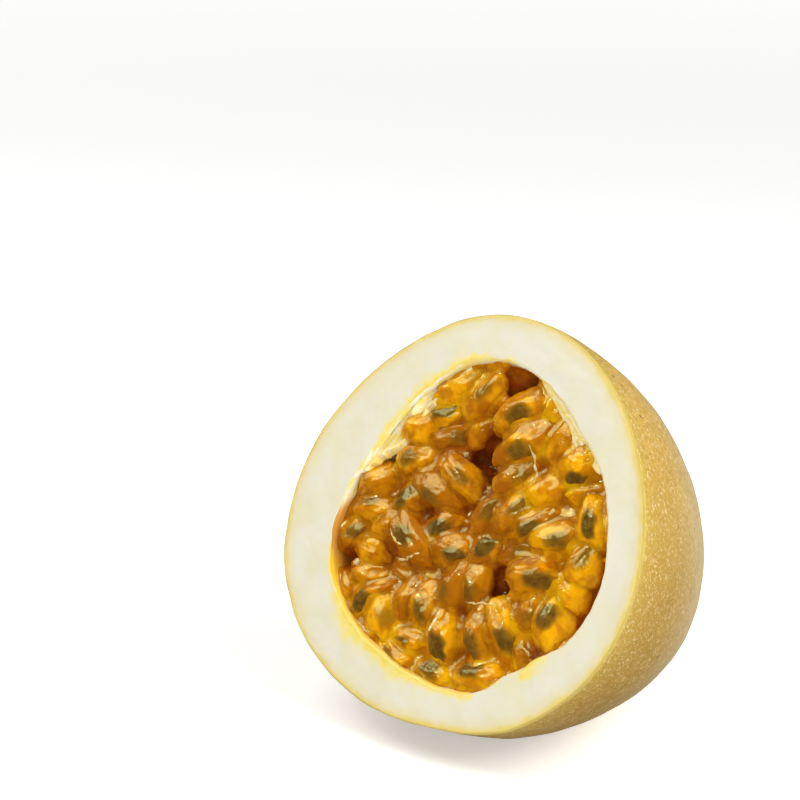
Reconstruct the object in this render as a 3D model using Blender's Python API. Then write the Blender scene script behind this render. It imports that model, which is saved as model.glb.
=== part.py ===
"""Half of a yellow passion fruit, cut across and resting on its rind.

Frame: metres, +Z up. The cut face looks along -Y and leans back, and the blossom end points along +Y.
The origin is on the resting surface, at the middle of the fruit's box.

Every shape is laid out in the fruit's own frame first: "across" runs to the right on the cut face,
"up" runs up the cut face, and "out" runs out of the fruit, so depths below the cut are negative.
"""

import math

import bmesh
import bpy
from mathutils import Matrix, Vector

MM = 0.001

# The fruit's outside
CUT_RADIUS = 38 * MM  # mean radius of the cut face
FRUIT_DEPTH = 55 * MM  # from the cut face to the blossom end
OUTER_ROUNDNESS = 1.9  # 2 makes the long section an ellipse, less a leaner one
OUTER_CORNERS = ((2, 0.034, 0), (3, 0.033, 86))  # how the cut differs from a circle, see outline()
FACE_TILT = 26  # how far the cut face leans back, in degrees
REST_CUT = 1 * MM  # how much of the round underside is flat where it rests

# The hollow that the pulp lies in
CAVITY_RADIUS = 28.8 * MM
CAVITY_DEPTH = 46 * MM
CAVITY_MIDDLE = Vector((2.4 * MM, -0.3 * MM))  # the hollow lies a little off the fruit's middle
CAVITY_CORNERS = ((2, 0.023, -12), (3, 0.044, 95), (4, 0.028, 16))
CAVITY_ROUNDNESS = 2.3  # 2 is an ellipse, more is fuller

# Meshing
AROUND = 48  # points around the rind
OUTER_ROWS = 14  # rows from the cut to the blossom end
INNER_ROWS = 10
SAC_AROUND = 10
SAC_ROWS = 7
SHARP_EDGE = 40  # an edge that turns more than this many degrees is a crisp one
SMALLEST_EDGE = 0.05 * MM
SAME_POINT = 0.001 * MM

GAP = 0.3 * MM  # what neighbouring pieces keep between them
FACE_MARGIN = 0.4 * MM  # the pulp stays this far below the cut face
SAC_TAPER = 0.15  # a sac is narrower towards its stalk
SAC_PLUMPNESS = 2.5  # 2 is an ellipse from end to end, more is fuller
SAC_DIP = 8  # a sac's free end lies this much deeper, in degrees
SAC_FLOOR = 7.2 * MM  # no sac of the top layer reaches deeper than this
STEPS_BACK_AND_FORTH = 12  # enough to find where two sacs are nearest

# The top layer of juice sacs, in millimetres on the cut face:
# across, up, depth of the top, heading of the free end in degrees, length, width.
UPPER_SACS = (
    (-11.5, 23.5, 0.6, 45, 12.0, 7.0),
    (-12.5, 18.5, 1.4, 25, 9.0, 6.4),
    (-11.0, 14.8, 2.0, 20, 9.5, 5.2),
    (-17.4, 14.2, 0.8, 40, 8.5, 6.6),
    (-16.8, 9.5, 1.0, 25, 8.5, 7.4),
    (-5.6, 22.5, 1.0, -122, 12.0, 5.0),
    (-4.8, 17.4, 2.8, -116, 8.0, 4.2),
    (3.4, 21.6, 0.6, -134, 12.5, 7.6),
    (6.0, 16.4, 0.5, -136, 14.0, 6.8),
    (10.6, 24.0, 1.6, -120, 7.5, 5.4),
    (14.2, 18.8, 1.2, -100, 9.5, 6.8),
    (19.3, 15.8, 0.5, -140, 9.0, 6.6),
    (20.8, 11.4, 2.0, -165, 9.0, 6.0),
)
RIGHT_SACS = (
    (6.4, 10.7, 1.6, -140, 10.5, 5.8),
    (13.4, 9.8, 1.0, -153, 8.5, 5.8),
    (17.2, 6.4, 1.8, -150, 9.5, 5.6),
    (2.4, 2.8, 1.6, -114, 9.0, 5.4),
    (8.2, 4.2, 0.9, -130, 10.5, 5.6),
    (12.6, 3.4, 1.5, -145, 12.5, 5.0),
    (18.6, 2.2, 0.8, -154, 11.5, 5.6),
    (13.2, -1.4, 1.8, -158, 11.5, 5.4),
    (17.0, -5.0, 0.4, -166, 11.5, 7.2),
    (25.4, 6.8, 0.5, -66, 11.0, 6.4),
    (25.6, -0.8, 0.7, -106, 9.0, 6.4),
    (24.8, -6.0, 1.2, -97, 7.5, 6.0),
    (23.6, -11.8, 0.4, -88, 12.0, 7.4),
    (18.6, -10.8, 1.2, -117, 8.5, 6.2),
)
LOWER_SACS = (
    (14.0, -14.6, 0.7, 128, 11.0, 6.0),
    (9.0, -16.4, 0.8, 106, 11.0, 5.6),
    (4.8, -9.8, 1.4, 103, 9.5, 5.6),
    (4.0, -3.2, 1.8, 45, 9.0, 6.0),
    (1.2, -10.4, 0.5, 88, 10.0, 5.4),
    (2.0, -19.2, 0.6, 102, 11.0, 6.8),
    (-3.3, -15.2, 0.5, 109, 10.0, 6.0),
    (-7.8, -14.4, 1.4, 78, 9.5, 5.2),
    (-12.3, -19.6, 0.5, 125, 11.0, 6.0),
    (-15.8, -16.6, 0.9, 49, 11.0, 5.6),
    (-4.6, -21.6, 1.4, 15, 10.0, 5.4),
    (-15.4, -23.6, 1.6, -33, 9.5, 6.2),
    (-5.0, -26.8, 0.6, -28, 10.5, 6.6),
    (3.2, -26.8, 0.5, -12, 10.0, 7.0),
    (11.8, -24.2, 0.5, 18, 11.0, 7.2),
    (19.0, -18.0, 2.2, 140, 9.5, 6.4),
)
LEFT_SACS = (
    (-5.4, 7.8, 1.6, -28, 12.5, 6.4),
    (-9.6, 4.6, 1.5, -17, 12.5, 6.0),
    (-5.8, -1.8, 1.6, -132, 9.0, 6.4),
    (-1.9, -5.0, 1.0, -5, 10.0, 6.2),
    (-11.0, -4.8, 0.3, -34, 13.0, 7.0),
    (-14.8, 1.8, 1.5, 49, 9.0, 6.6),
    (-24.8, 2.8, 1.0, 32, 10.0, 6.8),
    (-22.2, -2.2, 0.9, 13, 10.5, 6.0),
    (-17.2, -3.2, 0.6, 27, 7.5, 5.0),
    (-25.2, -6.8, 0.7, 35, 9.5, 6.8),
    (-19.4, -9.2, 1.3, -15, 10.0, 6.0),
    (-18.2, -13.4, 1.5, 20, 10.0, 5.6),
    (-12.0, -11.0, 2.4, -10, 9.0, 5.4),
    (-4.6, -10.2, 2.6, 15, 8.5, 5.4),
    (-22.4, -17.6, 1.2, -35, 10.0, 6.4),
)

# The deeper sacs, pressed into one mass: its top lies this deep, and sinks further in a few hollows,
# each given as across, up, further depth and radius in millimetres.
MASS_TOP = SAC_FLOOR + GAP
MASS_INSET = 0.9 * MM  # it keeps this distance to the wall
MASS_ROWS = 8
MASS_RINGS = 8
MASS_HOLLOWS = (
    (-4.5, 14.0, 5.0, 5.0),
    (2.0, 27.0, 5.0, 5.5),
    (6.0, -6.5, 4.0, 3.0),
    (16.0, -15.0, 4.0, 4.0),
    (-27.0, -11.0, 5.0, 4.5),
    (-22.0, 7.0, 5.0, 4.5),
)


def outline(angle, corners, share):
    """A section's radius as a share of its mean one. Each entry of corners is how many soft corners
    there are, how far they stand out, and where one of them is, in degrees from "across"."""
    swings = (size * math.cos(count * (angle - math.radians(at))) for count, size, at in corners)
    return 1 + share * sum(swings)


def outer_point(angle, turn):
    """A point of the skin. turn runs from 0 at the cut face to a right angle at the blossom end."""
    narrowing = math.cos(turn) ** (2 / OUTER_ROUNDNESS)
    radius = CUT_RADIUS * outline(angle, OUTER_CORNERS, narrowing) * narrowing
    depth = FRUIT_DEPTH * math.sin(turn) ** (2 / OUTER_ROUNDNESS)
    return Vector((radius * math.cos(angle), radius * math.sin(angle), -depth))


def cavity_radius(angle, depth):
    """How far the hollow's wall is from its axis, at a depth below the cut face."""
    share = min(depth / CAVITY_DEPTH, 1)
    narrowing = (1 - share**CAVITY_ROUNDNESS) ** (1 / CAVITY_ROUNDNESS)
    return CAVITY_RADIUS * outline(angle, CAVITY_CORNERS, narrowing) * narrowing


def cavity_point(angle, depth, inset=0.0):
    """A point of the hollow's wall, or of a surface that keeps the same distance inside it."""
    radius = max(cavity_radius(angle, depth) - inset, 0)
    across = CAVITY_MIDDLE.x + radius * math.cos(angle)
    up = CAVITY_MIDDLE.y + radius * math.sin(angle)
    return Vector((across, up, -depth))


def into_cavity(point, inset=GAP):
    """Moves a point that lies past the hollow's wall back to just inside it."""
    depth = max(-point.z, 0)
    flat = point.to_2d() - CAVITY_MIDDLE
    angle = math.atan2(flat.y, flat.x)
    room = cavity_radius(angle, depth) - inset
    if flat.length <= room:
        return point
    wall = cavity_point(angle, depth, inset)
    return Vector((wall.x, wall.y, point.z))


def fruit_matrix():
    """Turns the fruit's own frame into the part's: face forward and leaning back, underside at the floor."""
    tilt = math.radians(FACE_TILT)
    up = Vector((0, math.sin(tilt), math.cos(tilt)))
    out = Vector((0, -math.cos(tilt), math.sin(tilt)))
    turned = Matrix((Vector((1, 0, 0)), up, out)).transposed()
    skin = [
        turned @ outer_point(math.tau * i / AROUND, math.pi / 2 * j / OUTER_ROWS)
        for i in range(AROUND)
        for j in range(OUTER_ROWS + 1)
    ]
    low = Vector(min(p[k] for p in skin) for k in range(3))
    high = Vector(max(p[k] for p in skin) for k in range(3))
    middle = (low + high) / 2
    return Matrix.Translation((-middle.x, -middle.y, -low.z - REST_CUT)) @ turned.to_4x4()


def material(name, colour, roughness):
    made = bpy.data.materials.new(name)
    made.use_nodes = True
    shader = made.node_tree.nodes["Principled BSDF"]
    shader.inputs["Base Color"].default_value = (*colour, 1)
    shader.inputs["Roughness"].default_value = roughness
    shader.inputs["Metallic"].default_value = 0
    return made


def add_object(name, bm, surface):
    """Closes the mesh work: outward normals, smooth shading, and one object with its material."""
    bmesh.ops.recalc_face_normals(bm, faces=bm.faces)
    mesh = bpy.data.meshes.new(name)
    bm.to_mesh(mesh)
    bm.free()
    mesh.materials.append(surface)
    mesh.shade_smooth()
    mesh.set_sharp_from_angle(angle=math.radians(SHARP_EDGE))
    made = bpy.data.objects.new(name, mesh)
    bpy.context.scene.collection.objects.link(made)
    return made


def bridge(bm, ring_a, ring_b):
    """Four-sided faces between two rings of the same number of points."""
    for i in range(len(ring_a)):
        j = (i + 1) % len(ring_a)
        bm.faces.new((ring_a[i], ring_a[j], ring_b[j], ring_b[i]))


def fan(bm, ring, tip):
    for i in range(len(ring)):
        bm.faces.new((ring[i], ring[(i + 1) % len(ring)], tip))


def cut_away(bm, point, normal):
    """Cuts off what lies beyond a plane and closes the flat that this leaves."""
    bmesh.ops.bisect_plane(
        bm,
        geom=bm.verts[:] + bm.edges[:] + bm.faces[:],
        plane_co=point,
        plane_no=normal,
        dist=SAME_POINT,
        clear_outer=True,
    )
    open_edges = [e for e in bm.edges if e.is_boundary]
    if open_edges:
        bmesh.ops.edgeloop_fill(bm, edges=open_edges)


def add_rind(to_part, surface):
    """Skin and white pith, grown as one: a thick cup with a flat cut face and a flat spot underneath."""
    bm = bmesh.new()
    angles = [math.tau * i / AROUND for i in range(AROUND)]
    outer = []
    for j in range(OUTER_ROWS):
        turn = math.pi / 2 * j / OUTER_ROWS
        outer.append([bm.verts.new(outer_point(a, turn)) for a in angles])
    inner = []
    for j in range(INNER_ROWS):
        depth = CAVITY_DEPTH * math.sin(math.pi / 2 * j / INNER_ROWS)
        inner.append([bm.verts.new(cavity_point(a, depth)) for a in angles])
    for rings in (outer, inner):
        for ring_a, ring_b in zip(rings, rings[1:]):
            bridge(bm, ring_a, ring_b)
    fan(bm, outer[-1], bm.verts.new((0, 0, -FRUIT_DEPTH)))
    fan(bm, inner[-1], bm.verts.new((*CAVITY_MIDDLE, -CAVITY_DEPTH)))
    bridge(bm, outer[0], inner[0])
    bm.transform(to_part)
    cut_away(bm, (0, 0, 0), (0, 0, -1))
    return add_object("rind", bm, surface)


class Sac:
    """One juice sac: where its middle is, where its free end points, and how long and wide it is."""

    def __init__(self, across, up, top, heading, length, width):
        self.middle = Vector((across, up, -top - width / 2)) * MM
        self.length = length * MM
        self.width = width * MM
        turn = math.radians(heading)
        dip = math.radians(SAC_DIP)
        self.along = Vector((math.cos(turn) * math.cos(dip), math.sin(turn) * math.cos(dip), -math.sin(dip)))

    def core(self):
        """The ends of the line that runs inside the sac, half a width short of both tips."""
        half = self.along * (self.length - self.width) / 2
        return self.middle - half, self.middle + half

    def frame(self):
        """Its own axes: along, sideways on the cut face, and out of the fruit."""
        sideways = Vector((0, 0, 1)).cross(self.along).normalized()
        out = self.along.cross(sideways)
        axes = Matrix((self.along, sideways, out)).transposed().to_4x4()
        return Matrix.Translation(self.middle) @ axes


def nearest_on_line(point, start, end):
    run = end - start
    if run.length < SAME_POINT:
        return start
    share = (point - start).dot(run) / run.length_squared
    return start + run * min(max(share, 0), 1)


def nearest_points(a0, a1, b0, b1):
    """The nearest two points of two short lines, found by stepping from one to the other and back."""
    point = (b0 + b1) / 2
    for _ in range(STEPS_BACK_AND_FORTH):
        other = nearest_on_line(point, a0, a1)
        point = nearest_on_line(other, b0, b1)
    return other, point


def contact(sac, other):
    """Where two sacs press on each other, and the direction from one to the other. None if they don't."""
    here, there = nearest_points(*sac.core(), *other.core())
    between = there - here
    distance = between.length
    if distance >= (sac.width + other.width) / 2 + GAP:
        return None
    normal = between.normalized()
    reach = (distance + (sac.width - other.width) / 2) / 2
    return here + normal * reach, normal


def sac_swell(along):
    """How much fuller than a ball a sac is at a place from -1 at its stalk to 1 at its free end."""
    if abs(along) >= 1:
        return 1
    ball = math.sqrt(1 - along * along)
    full = (1 - abs(along) ** SAC_PLUMPNESS) ** (1 / SAC_PLUMPNESS)
    return full / ball * (1 + SAC_TAPER * along)


def add_sac(name, sac, others, to_part, surface):
    """A drop-shaped sac, pressed flat where it meets the wall of the hollow and the sacs around it."""
    bm = bmesh.new()
    bmesh.ops.create_uvsphere(bm, u_segments=SAC_AROUND, v_segments=SAC_ROWS, radius=1)
    frame = sac.frame()
    for vert in bm.verts:
        side, out, along = vert.co
        swell = sac_swell(along) * sac.width / 2
        vert.co = into_cavity(frame @ Vector((along * sac.length / 2, side * swell, out * swell)))
    cut_away(bm, (0, 0, -FACE_MARGIN), (0, 0, 1))
    cut_away(bm, (0, 0, -SAC_FLOOR), (0, 0, -1))
    for other in others:
        met = contact(sac, other)
        if met:
            point, normal = met
            cut_away(bm, point - normal * GAP / 2, normal)
    bmesh.ops.remove_doubles(bm, verts=bm.verts, dist=SMALLEST_EDGE)
    bm.transform(to_part)
    return add_object(name, bm, surface)


def mass_top(across, up):
    """How deep the top of the deeper pulp lies at a place on the cut face."""
    depth = MASS_TOP
    for x, y, further, radius in MASS_HOLLOWS:
        away = math.hypot(across - x * MM, up - y * MM) / (radius * MM)
        depth += further * MM * math.exp(-away * away)
    return depth


def add_mass(to_part, surface):
    """The deeper juice sacs, pressed together into one mass that fills the bottom of the hollow."""
    bm = bmesh.new()
    angles = [math.tau * i / AROUND for i in range(AROUND)]
    rings = []
    for j in range(1, MASS_RINGS + 1):
        ring = []
        for a in angles:
            rim = cavity_point(a, MASS_TOP, MASS_INSET).to_2d()
            flat = CAVITY_MIDDLE.lerp(rim, j / MASS_RINGS)
            place = into_cavity(Vector((*flat, -mass_top(*flat))), MASS_INSET)
            ring.append(bm.verts.new(place))
        rings.append(ring)
    bottom = CAVITY_DEPTH - MASS_INSET
    for j in range(1, MASS_ROWS):
        share = math.sin(math.pi / 2 * j / MASS_ROWS)
        ring = []
        for i, a in enumerate(angles):
            top = -rings[MASS_RINGS - 1][i].co.z
            depth = top + (bottom - top) * share
            ring.append(bm.verts.new(cavity_point(a, depth, MASS_INSET)))
        rings.append(ring)
    for ring_a, ring_b in zip(rings, rings[1:]):
        bridge(bm, ring_a, ring_b)
    fan(bm, rings[0], bm.verts.new((*CAVITY_MIDDLE, -mass_top(*CAVITY_MIDDLE))))
    fan(bm, rings[-1], bm.verts.new((*CAVITY_MIDDLE, -bottom)))
    bm.transform(to_part)
    return add_object("deep_pulp", bm, surface)


def build():
    for old in list(bpy.data.objects):
        bpy.data.objects.remove(old)
    rind_surface = material("rind", (0.62, 0.45, 0.12), 0.45)
    sac_surface = material("juice_sac", (0.75, 0.30, 0.02), 0.15)
    mass_surface = material("deep_pulp", (0.45, 0.14, 0.01), 0.2)
    to_part = fruit_matrix()
    add_rind(to_part, rind_surface)
    add_mass(to_part, mass_surface)
    sacs = [Sac(*row) for row in UPPER_SACS + RIGHT_SACS + LOWER_SACS + LEFT_SACS]
    for number, sac in enumerate(sacs, start=1):
        others = [other for other in sacs if other is not sac]
        add_sac(f"juice_sac_{number:02d}", sac, others, to_part, sac_surface)


build()
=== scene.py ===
"""Half of a yellow passion fruit, cut across and resting on its rind.

Everything is in metres in the part's own frame: +Z up, the cut face looking along -Y and leaning back.
Shapes are laid out in the fruit's own frame first: "across" runs to the right on the cut face, "up" runs
up the cut face and "out" runs out of the fruit, so depths below the cut are negative.
"""

import math

import bmesh
import bpy
import numpy as np
from mathutils import Matrix, Vector, noise
from mathutils.bvhtree import BVHTree


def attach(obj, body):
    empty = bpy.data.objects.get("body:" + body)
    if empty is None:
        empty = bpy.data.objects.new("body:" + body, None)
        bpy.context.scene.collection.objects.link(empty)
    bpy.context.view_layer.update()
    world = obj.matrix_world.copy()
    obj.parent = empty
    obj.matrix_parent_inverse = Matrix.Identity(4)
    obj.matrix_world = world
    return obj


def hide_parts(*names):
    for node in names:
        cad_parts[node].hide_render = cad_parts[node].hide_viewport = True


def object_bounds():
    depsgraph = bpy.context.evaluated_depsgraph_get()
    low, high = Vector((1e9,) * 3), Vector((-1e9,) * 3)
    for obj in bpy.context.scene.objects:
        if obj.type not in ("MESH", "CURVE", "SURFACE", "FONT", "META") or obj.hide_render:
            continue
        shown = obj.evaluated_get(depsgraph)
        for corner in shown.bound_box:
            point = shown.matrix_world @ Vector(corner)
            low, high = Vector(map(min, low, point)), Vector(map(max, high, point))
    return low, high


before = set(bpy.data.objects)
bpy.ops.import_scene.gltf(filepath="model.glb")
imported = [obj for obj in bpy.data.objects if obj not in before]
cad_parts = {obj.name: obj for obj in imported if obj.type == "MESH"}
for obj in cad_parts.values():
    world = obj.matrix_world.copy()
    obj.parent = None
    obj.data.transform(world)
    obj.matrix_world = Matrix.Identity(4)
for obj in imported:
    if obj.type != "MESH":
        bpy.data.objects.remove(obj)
cad_low, cad_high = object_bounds()


# --------------------
# The rind: a leathery yellow skin over thick white pith, grown as one piece. A knife left the pith flat
# all round; inside, a thin silky membrane lines the hollow, and at the back is the blossom end's scar.

MM = 0.001
CUT_RADIUS = 38 * MM
FRUIT_DEPTH = 55 * MM
OUTER_ROUNDNESS = 1.9  # 2 is an ellipse, more is fuller
OUTER_CORNERS = ((2, 0.034, 0), (3, 0.033, 86))  # soft corners: how many, how far out, where in degrees
FACE_TILT = 26  # how far the cut face leans back, in degrees

CAVITY_RADIUS = 28.8 * MM
CAVITY_DEPTH = 46 * MM
CAVITY_MIDDLE = np.array((2.4 * MM, -0.3 * MM))
CAVITY_CORNERS = ((2, 0.023, -12), (3, 0.044, 95), (4, 0.028, 16))
CAVITY_ROUNDNESS = 2.3
# where the pith swells into the hollow at the cut: where in degrees, spread, how far in mm
LIP_SWELLS = ((-40, 8, 2.1), (-53, 7, 1.8), (10, 15, 1.1))
SWELL_DEPTH = 5 * MM

AROUND = 420
ANGLES = np.arange(AROUND) * math.tau / AROUND
DEGREES = np.degrees(ANGLES)


def nearest_turn(degrees, at):
    """How far round from at each direction is, from -180 to 180 degrees."""
    return (degrees - at + 180) % 360 - 180


def humps(degrees, table):
    """Soft humps round the hollow, added up. The table gives each one's place, spread and height."""
    return sum(size * np.exp(-((nearest_turn(degrees, at) / spread) ** 2)) for at, spread, size in table)


def section(radius, corners, narrowing):
    """The radius of a section of the fruit in every direction around it."""
    swings = sum(size * np.cos(count * (ANGLES - math.radians(at))) for count, size, at in corners)
    return radius * (1 + narrowing * swings) * narrowing


def skin_row(turn):
    """A row of points of the skin. turn runs from 0 at the cut face to a right angle at the back."""
    narrowing = math.cos(turn) ** (2 / OUTER_ROUNDNESS)
    radius = section(CUT_RADIUS, OUTER_CORNERS, narrowing)
    depth = FRUIT_DEPTH * math.sin(turn) ** (2 / OUTER_ROUNDNESS)
    return np.stack((radius * np.cos(ANGLES), radius * np.sin(ANGLES), np.full(AROUND, -depth)), 1)


def wall_row(depth):
    """A row of points of the hollow's wall."""
    narrowing = (1 - min(depth / CAVITY_DEPTH, 1) ** CAVITY_ROUNDNESS) ** (1 / CAVITY_ROUNDNESS)
    swells = humps(DEGREES, LIP_SWELLS) * MM * math.exp(-depth / SWELL_DEPTH)
    radius = section(CAVITY_RADIUS, CAVITY_CORNERS, narrowing) - swells
    across = CAVITY_MIDDLE[0] + radius * np.cos(ANGLES)
    up = CAVITY_MIDDLE[1] + radius * np.sin(ANGLES)
    return np.stack((across, up, np.full(AROUND, -depth)), 1)


def even_turns(first_depth, rows):
    """Turns that space the skin's rows evenly, from the back to first_depth below the cut."""
    fine = np.linspace(0, math.pi / 2, 3000)
    power = 2 / OUTER_ROUNDNESS
    radius, depth = CUT_RADIUS * np.cos(fine) ** power, FRUIT_DEPTH * np.sin(fine) ** power
    run = np.concatenate(([0], np.cumsum(np.hypot(np.diff(radius), np.diff(depth)))))
    start = np.interp(first_depth, depth, run)
    return np.interp(np.linspace(run[-1], start, rows + 1)[1:], run, fine)


def to_part_matrix():
    """Turns the fruit's own frame into the part's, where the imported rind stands."""
    tilt = math.radians(FACE_TILT)
    up = Vector((0, math.sin(tilt), math.cos(tilt)))
    out = Vector((0, -math.cos(tilt), math.sin(tilt)))
    turned = np.array(Matrix((Vector((1, 0, 0)), up, out)).transposed())
    skin = np.concatenate([skin_row(turn) for turn in np.linspace(0, math.pi / 2, 60)]) @ turned.T
    low, high = skin.min(0), skin.max(0)
    matrix = np.eye(4)
    matrix[:3, :3] = turned
    matrix[:3, 3] = (-(low[0] + high[0]) / 2, -(low[1] + high[1]) / 2, cad_high.z - high[2])
    return matrix


TO_PART = to_part_matrix()
FACE_OUT = TO_PART[:3, 2]


def in_part(points):
    """Points of the fruit's own frame in the part's."""
    return points @ TO_PART[:3, :3].T + TO_PART[:3, 3]


def on_face(points):
    """Points of the part's frame in the fruit's own: across, up, out."""
    return (points - TO_PART[:3, 3]) @ TO_PART[:3, :3]


def wobble(points, scale, stretch=(1, 1, 1), seed=0):
    """Smooth noise, about -1 to 1, at each point. scale is the size of its lumps in metres."""
    placed = points / scale / np.array(stretch) + seed * 17.3
    return np.array([noise.noise(p) for p in placed.tolist()]) * 1.6


def relief(points, layers, stretch=(1, 1, 1)):
    """Layers of noise, added up. Each has its height and the size of its lumps in mm, and a seed."""
    return sum(height * wobble(points, size * MM, stretch, seed) for height, size, seed in layers)


def unit(ways):
    """Directions of length one."""
    return ways / np.linalg.norm(ways, axis=1)[:, None]


def raised(points, lift):
    """Points moved out of the cut by lift, in millimetres."""
    return points + np.outer(lift, (0, 0, MM))


def soft_step(low, high, values):
    """Rises smoothly from 0 at low to 1 at high."""
    share = np.clip((values - low) / (high - low), 0, 1)
    return share * share * (3 - 2 * share)


def store(mesh, name, values):
    """Keeps a number or a vector for every point of a mesh, for its material to read."""
    values = np.asarray(values, np.float32)
    kind = "FLOAT_VECTOR" if values.ndim == 2 else "FLOAT"
    layer = mesh.attributes.new(name, kind, "POINT")
    layer.data.foreach_set("vector" if values.ndim == 2 else "value", values.ravel())


def add_piece(name, mesh):
    mesh.shade_smooth()
    piece = bpy.data.objects.new(name, mesh)
    bpy.context.scene.collection.objects.link(piece)
    return piece


SKIN, PITH, WALL = range(3)  # the rind's three surfaces, in the order of its materials
SKIN_ROWS = 118
RING_ROWS = 36
WALL_ROWS = 34
EDGE_ROUND = 0.18 * MM
LIP_ROUND = 0.4 * MM
WALL_END = CAVITY_DEPTH - 1.5 * MM
LIP_WAVE_DEPTH = 1.5 * MM
SILK_START = 1.2 * MM
SILK_SQUEEZE = 0.15  # the smaller, the longer the fibres
LUMPS_MIDDLE = 0.3 * FRUIT_DEPTH  # the skin's lumps point away from a place this deep

# the relief of each surface, in layers: height in mm, size of the lumps in mm, seed
SKIN_LUMPS = ((0.30, 17, 0), (0.07, 4, 3))
LIP_WAVES = ((0.25, 5, 5), (0.12, 1.5, 6))
CUT_WAVES = ((0.10, 6, 8), (0.04, 1.6, 9))
WALL_SILK = ((0.22, 2.0, 11), (0.10, 0.9, 12))
SILK_STRETCH = (4, 4, 1)

# how far juice has soaked over the pith from the inner edge: where in degrees, spread, reach in mm
JUICE_SOAKS = (
    (-150, 16, 1.2), (-131, 9, 2.4), (-112, 12, 2.4), (-92, 12, 1.3), (-72, 9, 1.0), (-57, 5, 0.5),
    (-41, 6, 1.5), (-5, 25, 0.3), (40, 20, 0.5), (95, 8, 0.6), (113, 9, 1.6), (132, 10, 1.9),
    (152, 10, 1.2), (172, 8, 0.7),
)
# where the wall is pale and silky, with less of the painted shade lower down (more where negative): where
# in degrees, spread, how much
FAIR_WALLS = ((148, 30, 1.0), (112, 14, 0.5), (196, 15, -0.8), (15, 30, 0.6), (-20, 20, 0.3))
DRIP = ((22.4, -21.4), (26.6, -18.6), 1.2)  # a drop smeared on the pith: from, to, half width in mm
DRIP_STRENGTH = 0.68
PITH_WIDTH = 8  # in mm
WET_DEPTH = 3 * MM  # how far down the wall the juice has run

SCAR_RADIUS = 2.4 * MM
SCAR_DENT = 0.9 * MM
SCAR_MIDDLE = FRUIT_DEPTH - 0.5 * MM
SCAR_STAIN = 2.1 * MM
BACK = CAVITY_DEPTH + 2 * MM  # the back begins this deep, behind the hollow
COLLAR = 0.35  # the collar's height, as a share of the dent
COLLAR_RADIUS = 3.4 * MM  # a low collar stands round the scar
COLLAR_WIDTH = 1.2 * MM


def rind_rows():
    """All rows of the rind from the back over the cut to the bottom of the hollow."""
    rows = []
    for turn in even_turns(EDGE_ROUND, SKIN_ROWS):
        row = skin_row(turn)
        outward = unit(row + (0, 0, LUMPS_MIDDLE))
        rows.append(row + outward * relief(row, SKIN_LUMPS)[:, None] * MM)
    edge = rows[-1] * (1, 1, 0)
    lip = wall_row(0)
    towards = lip - edge
    width = np.linalg.norm(towards, axis=1)[:, None]
    towards /= width
    lip_wave = towards * relief(lip, LIP_WAVES)[:, None] * MM
    for share in np.linspace(0, 1, RING_ROWS):
        row = edge + towards * (EDGE_ROUND + share * (width - EDGE_ROUND - LIP_ROUND)) + share**4 * lip_wave
        lift = relief(row, CUT_WAVES) * (1 - share**6)
        rows.append(raised(row, lift))
    for share in np.linspace(0, 1, WALL_ROWS) ** 1.7:
        depth = LIP_ROUND + share * (WALL_END - LIP_ROUND)
        row = wall_row(depth) + lip_wave * math.exp(-depth / LIP_WAVE_DEPTH)
        inward = unit(np.append(CAVITY_MIDDLE, -depth) - row)
        silk = np.abs(relief(row, WALL_SILK, SILK_STRETCH)) * min(depth / SILK_START, 1)
        rows.append(row + inward * silk[:, None] * MM)
    return rows


def rind_faces(count):
    """Faces between the rind's rows, with a fan at the back and one at the bottom of the hollow."""
    faces = []
    for r in range(count - 1):
        a, b = r * AROUND, (r + 1) * AROUND
        for i in range(AROUND):
            j = (i + 1) % AROUND
            faces.append((a + i, a + j, b + j, b + i))
    back, bottom = count * AROUND, count * AROUND + 1
    last = (count - 1) * AROUND
    for i in range(AROUND):
        j = (i + 1) % AROUND
        faces.append((j, i, back))
        faces.append((last + i, last + j, bottom))
    return faces


def juice_on_pith(points, from_lip, soak):
    """How much juice the pith holds at each point: ragged along the hollow's edge, and one smeared drop."""
    ragged = 1 + 0.4 * wobble(points, 1.6 * MM, seed=14)
    juice = np.exp(-((from_lip / np.maximum(soak * ragged, 0.12)) ** 1.4))
    start, end, half_width = DRIP
    run = np.subtract(end, start)
    from_start = points[:, :2] / MM - start
    along = np.clip(from_start @ run / (run @ run), 0, 1)
    away = np.linalg.norm(from_start - along[:, None] * run, axis=1)
    away *= 1 + 0.25 * wobble(points, 1.6 * MM, seed=15)
    drip = (1 - soft_step(0.1, 1.5, away / (half_width * (1 - 0.35 * along)))) * (1 - 0.75 * along)
    return np.maximum(juice, DRIP_STRENGTH * drip * (from_lip < PITH_WIDTH))


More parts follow.
